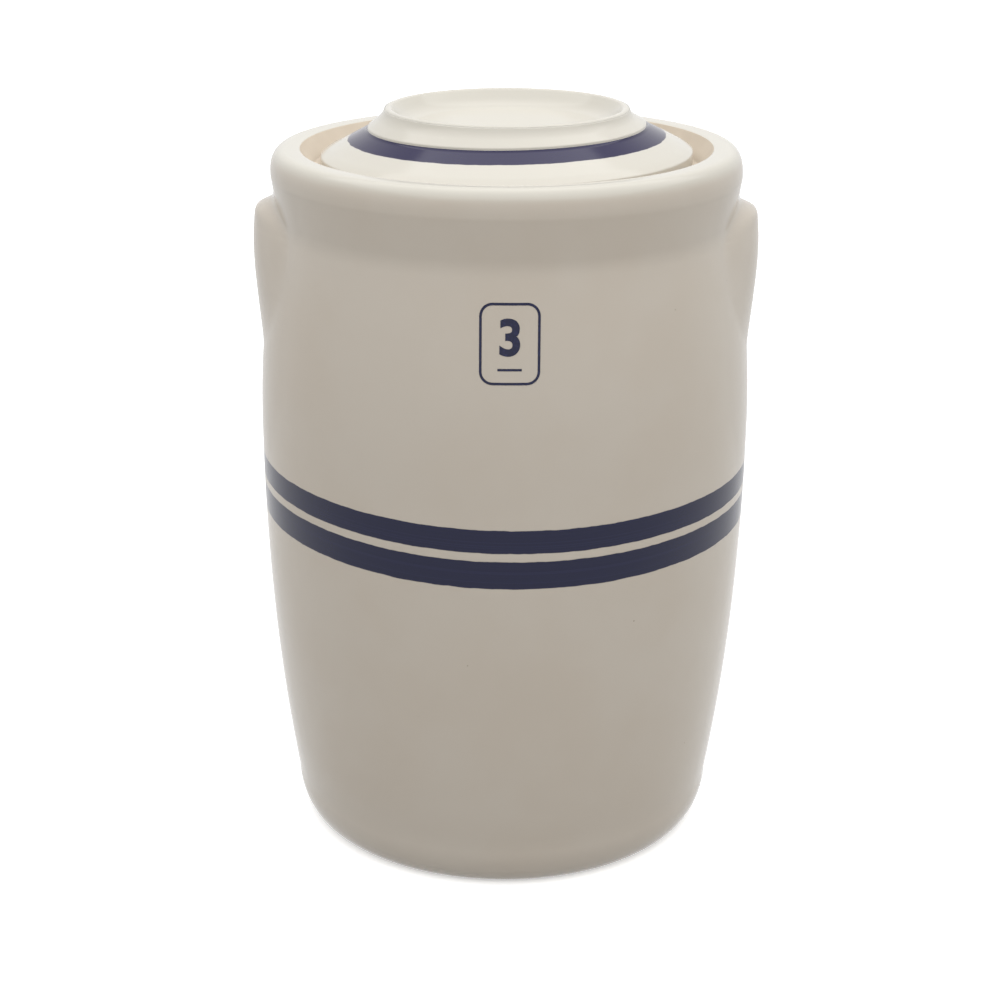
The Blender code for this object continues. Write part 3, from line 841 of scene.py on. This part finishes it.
def makePeg():
    shape = bmesh.new()
    length = pegHigh.x - pegLow.x
    radius = (pegHigh.y - pegLow.y) / 2
    bmesh.ops.create_cone(shape, cap_ends=True, segments=dasher["pegSegments"], radius1=radius,
                          radius2=radius, depth=length)
    rims = [edge for edge in shape.edges if isLevel(edge)]
    bmesh.ops.bevel(shape, geom=rims, offset=dasher["pegEase"], segments=3, profile=0.5, affect="EDGES",
                    material=-1)
    bmesh.ops.rotate(shape, cent=(0, 0, 0), matrix=Matrix.Rotation(pi / 2, 3, "Y"), verts=shape.verts)
    bmesh.ops.translate(shape, vec=(0, 0, (pegLow.z + pegHigh.z) / 2), verts=shape.verts)
    return shape


maple = [makeWood(f"oiled_maple_{name}", wood["maple"], wood["mapleDark"], axis)
         for name, axis in (("lengthways", 0), ("crossways", 1), ("upright", 2))]
oak = makeWood("oiled_oak", wood["oak"], wood["oakDark"], 0)
for name, node, shape, look in (
        ("turnedStaff", "dasher_staff", makeStaff(), maple[2]),
        ("lowerSlat", "dasher_slat_lower", makeSlat("dasher_slat_lower", True), maple[0]),
        ("upperSlat", "dasher_slat_upper", makeSlat("dasher_slat_upper", False), maple[1]),
        ("crossPeg", "dasher_peg", makePeg(), oak)):
    piece = finishPiece(name, shape, [look], "dasher_body", (node,))
    piece.data.set_sharp_from_angle(angle=radians(35))


# The studio

studio = {
    "camera": (-0.0021, -0.992, 0.5298),
    "pitch": 20.065,
    "roll": 0.4,
    "lens": 72.655,
    "sensor": 36.0,
    "floorSize": 60.0,
    "floorBounce": "#b5b3af",
    "floorShown": "#f4f4f4",
    "floorGlow": 0.42,
    "horizon": 0.47,
    "zenith": 1.05,
    "overheadSize": (4.0, 4.0),
    "overheadPlace": (0.35, -0.1, 1.8),
    "overheadAim": (0.35, -0.1, 0.0),
    "overheadPower": 53.0,
    "frontSize": (3.6, 0.40),
    "frontPlace": (0.35, -1.5, 0.22),
    "frontAim": (0.0, 0.0, 0.22),
    "frontPower": 0.7,
    "board": (1.60, 1.00),    # grey board behind the churn that only its reflections show
    "boardPlace": 0.45,
    "boardTone": 0.90,
}


def shinyRays(tree, rays):
    # 1 where a ray comes from a reflection or a view through glass
    return addNode(tree, "ShaderNodeMath", {"operation": "MAXIMUM"}, {
        0: rays.outputs["Is Glossy Ray"], 1: rays.outputs["Is Transmission Ray"]}).outputs["Value"]


def emptyMaterial(name):
    material = bpy.data.materials.new(name)
    material.use_nodes = True
    material.node_tree.nodes.clear()
    return material, material.node_tree


def makeFloor():
    # Paler to the camera than it is to the churn, so that its bounce stays soft
    material, tree = emptyMaterial("white_paper_sweep")
    bounce = addNode(tree, "ShaderNodeBsdfDiffuse", {}, {"Color": hexColour(studio["floorBounce"])})
    paper = addNode(tree, "ShaderNodeBsdfDiffuse", {}, {"Color": hexColour(studio["floorShown"])})
    glow = addNode(tree, "ShaderNodeEmission", {}, {"Strength": studio["floorGlow"]})
    lit = addNode(tree, "ShaderNodeAddShader", {}, {0: paper.outputs["BSDF"], 1: glow.outputs["Emission"]})
    mirrored = addNode(tree, "ShaderNodeEmission", {}, {"Strength": 1.0})
    rays = addNode(tree, "ShaderNodeLightPath")
    seen = addNode(tree, "ShaderNodeMixShader", {}, {
        0: rays.outputs["Is Camera Ray"], 1: bounce.outputs["BSDF"], 2: lit.outputs["Shader"]})
    mix = addNode(tree, "ShaderNodeMixShader", {}, {
        0: shinyRays(tree, rays), 1: seen.outputs["Shader"], 2: mirrored.outputs["Emission"]})
    addNode(tree, "ShaderNodeOutputMaterial", {}, {"Surface": mix.outputs["Shader"]})
    shape = bmesh.new()
    bmesh.ops.create_grid(shape, x_segments=1, y_segments=1, size=studio["floorSize"] / 2)
    floor = meshObject("paleFloor", shape, [material])


def makeBoard():
    # It gives the glossy wall a darker edge against the white background
    material, tree = emptyMaterial("grey_card")
    card = addNode(tree, "ShaderNodeEmission", {}, {"Strength": studio["boardTone"]})
    addNode(tree, "ShaderNodeOutputMaterial", {}, {"Surface": card.outputs["Emission"]})
    shape = bmesh.new()
    roundedPlate(shape, studio["board"], 0.0)
    bmesh.ops.rotate(shape, cent=(0, 0, 0), matrix=Matrix.Rotation(pi / 2, 3, "X"), verts=shape.verts)
    bmesh.ops.translate(shape, vec=(0, studio["boardPlace"], studio["board"][1] / 2), verts=shape.verts)
    board = meshObject("greyBoard", shape, [material])
    board.visible_camera = board.visible_diffuse = False
    board.visible_shadow = board.visible_transmission = False


def makeWorld():
    world = bpy.data.worlds.new("paleRoom")
    bpy.context.scene.world = world
    world.use_nodes = True
    tree = world.node_tree
    tree.nodes.clear()
    # Soft ceiling light that falls off towards the walls of the room
    direction = addNode(tree, "ShaderNodeTexCoord").outputs["Generated"]
    height = addNode(tree, "ShaderNodeSeparateXYZ", {}, {"Vector": direction}).outputs["Z"]
    level = addNode(tree, "ShaderNodeMapRange", {}, {
        "Value": height, "To Min": studio["horizon"], "To Max": studio["zenith"]})
    room = addNode(tree, "ShaderNodeBackground", {}, {
        "Color": (1.0, 1.0, 1.0, 1.0), "Strength": level.outputs["Result"]})
    backdrop = addNode(tree, "ShaderNodeBackground", {}, {"Color": (1.0, 1.0, 1.0, 1.0), "Strength": 1.0})
    rays = addNode(tree, "ShaderNodeLightPath")
    shown = addNode(tree, "ShaderNodeMath", {"operation": "MAXIMUM"}, {
        0: rays.outputs["Is Camera Ray"], 1: shinyRays(tree, rays)})
    mix = addNode(tree, "ShaderNodeMixShader", {}, {
        0: shown.outputs["Value"], 1: room.outputs["Background"], 2: backdrop.outputs["Background"]})
    addNode(tree, "ShaderNodeOutputWorld", {}, {"Surface": mix.outputs["Shader"]})


def addLamp(name, size, power, place, aim):
    lamp = bpy.data.lights.new(name, "AREA")
    lamp.shape = "RECTANGLE"
    lamp.size, lamp.size_y = size
    lamp.energy = power
    holder = bpy.data.objects.new(name, lamp)
    holder.location = place
    holder.rotation_euler = (Vector(aim) - Vector(place)).to_track_quat("-Z", "Y").to_euler()
    holder.visible_camera = False
    bpy.context.scene.collection.objects.link(holder)


def makeCamera():
    lens = bpy.data.cameras.new("camera")
    lens.lens = studio["lens"]
    lens.sensor_width = studio["sensor"]
    camera = bpy.data.objects.new("camera", lens)
    camera.location = studio["camera"]
    pitch = Matrix.Rotation(radians(90 - studio["pitch"]), 3, "X")
    roll = Matrix.Rotation(radians(studio["roll"]), 3, "Z")
    camera.rotation_euler = (pitch @ roll).to_euler()
    bpy.context.scene.collection.objects.link(camera)
    bpy.context.scene.camera = camera


makeFloor()
makeBoard()
makeWorld()
addLamp("overheadBox", studio["overheadSize"], studio["overheadPower"], studio["overheadPlace"],
        studio["overheadAim"])
addLamp("frontBox", studio["frontSize"], studio["frontPower"], studio["frontPlace"], studio["frontAim"])
makeCamera()
bpy.context.scene.view_settings.view_transform = "Standard"
print("studio ready")
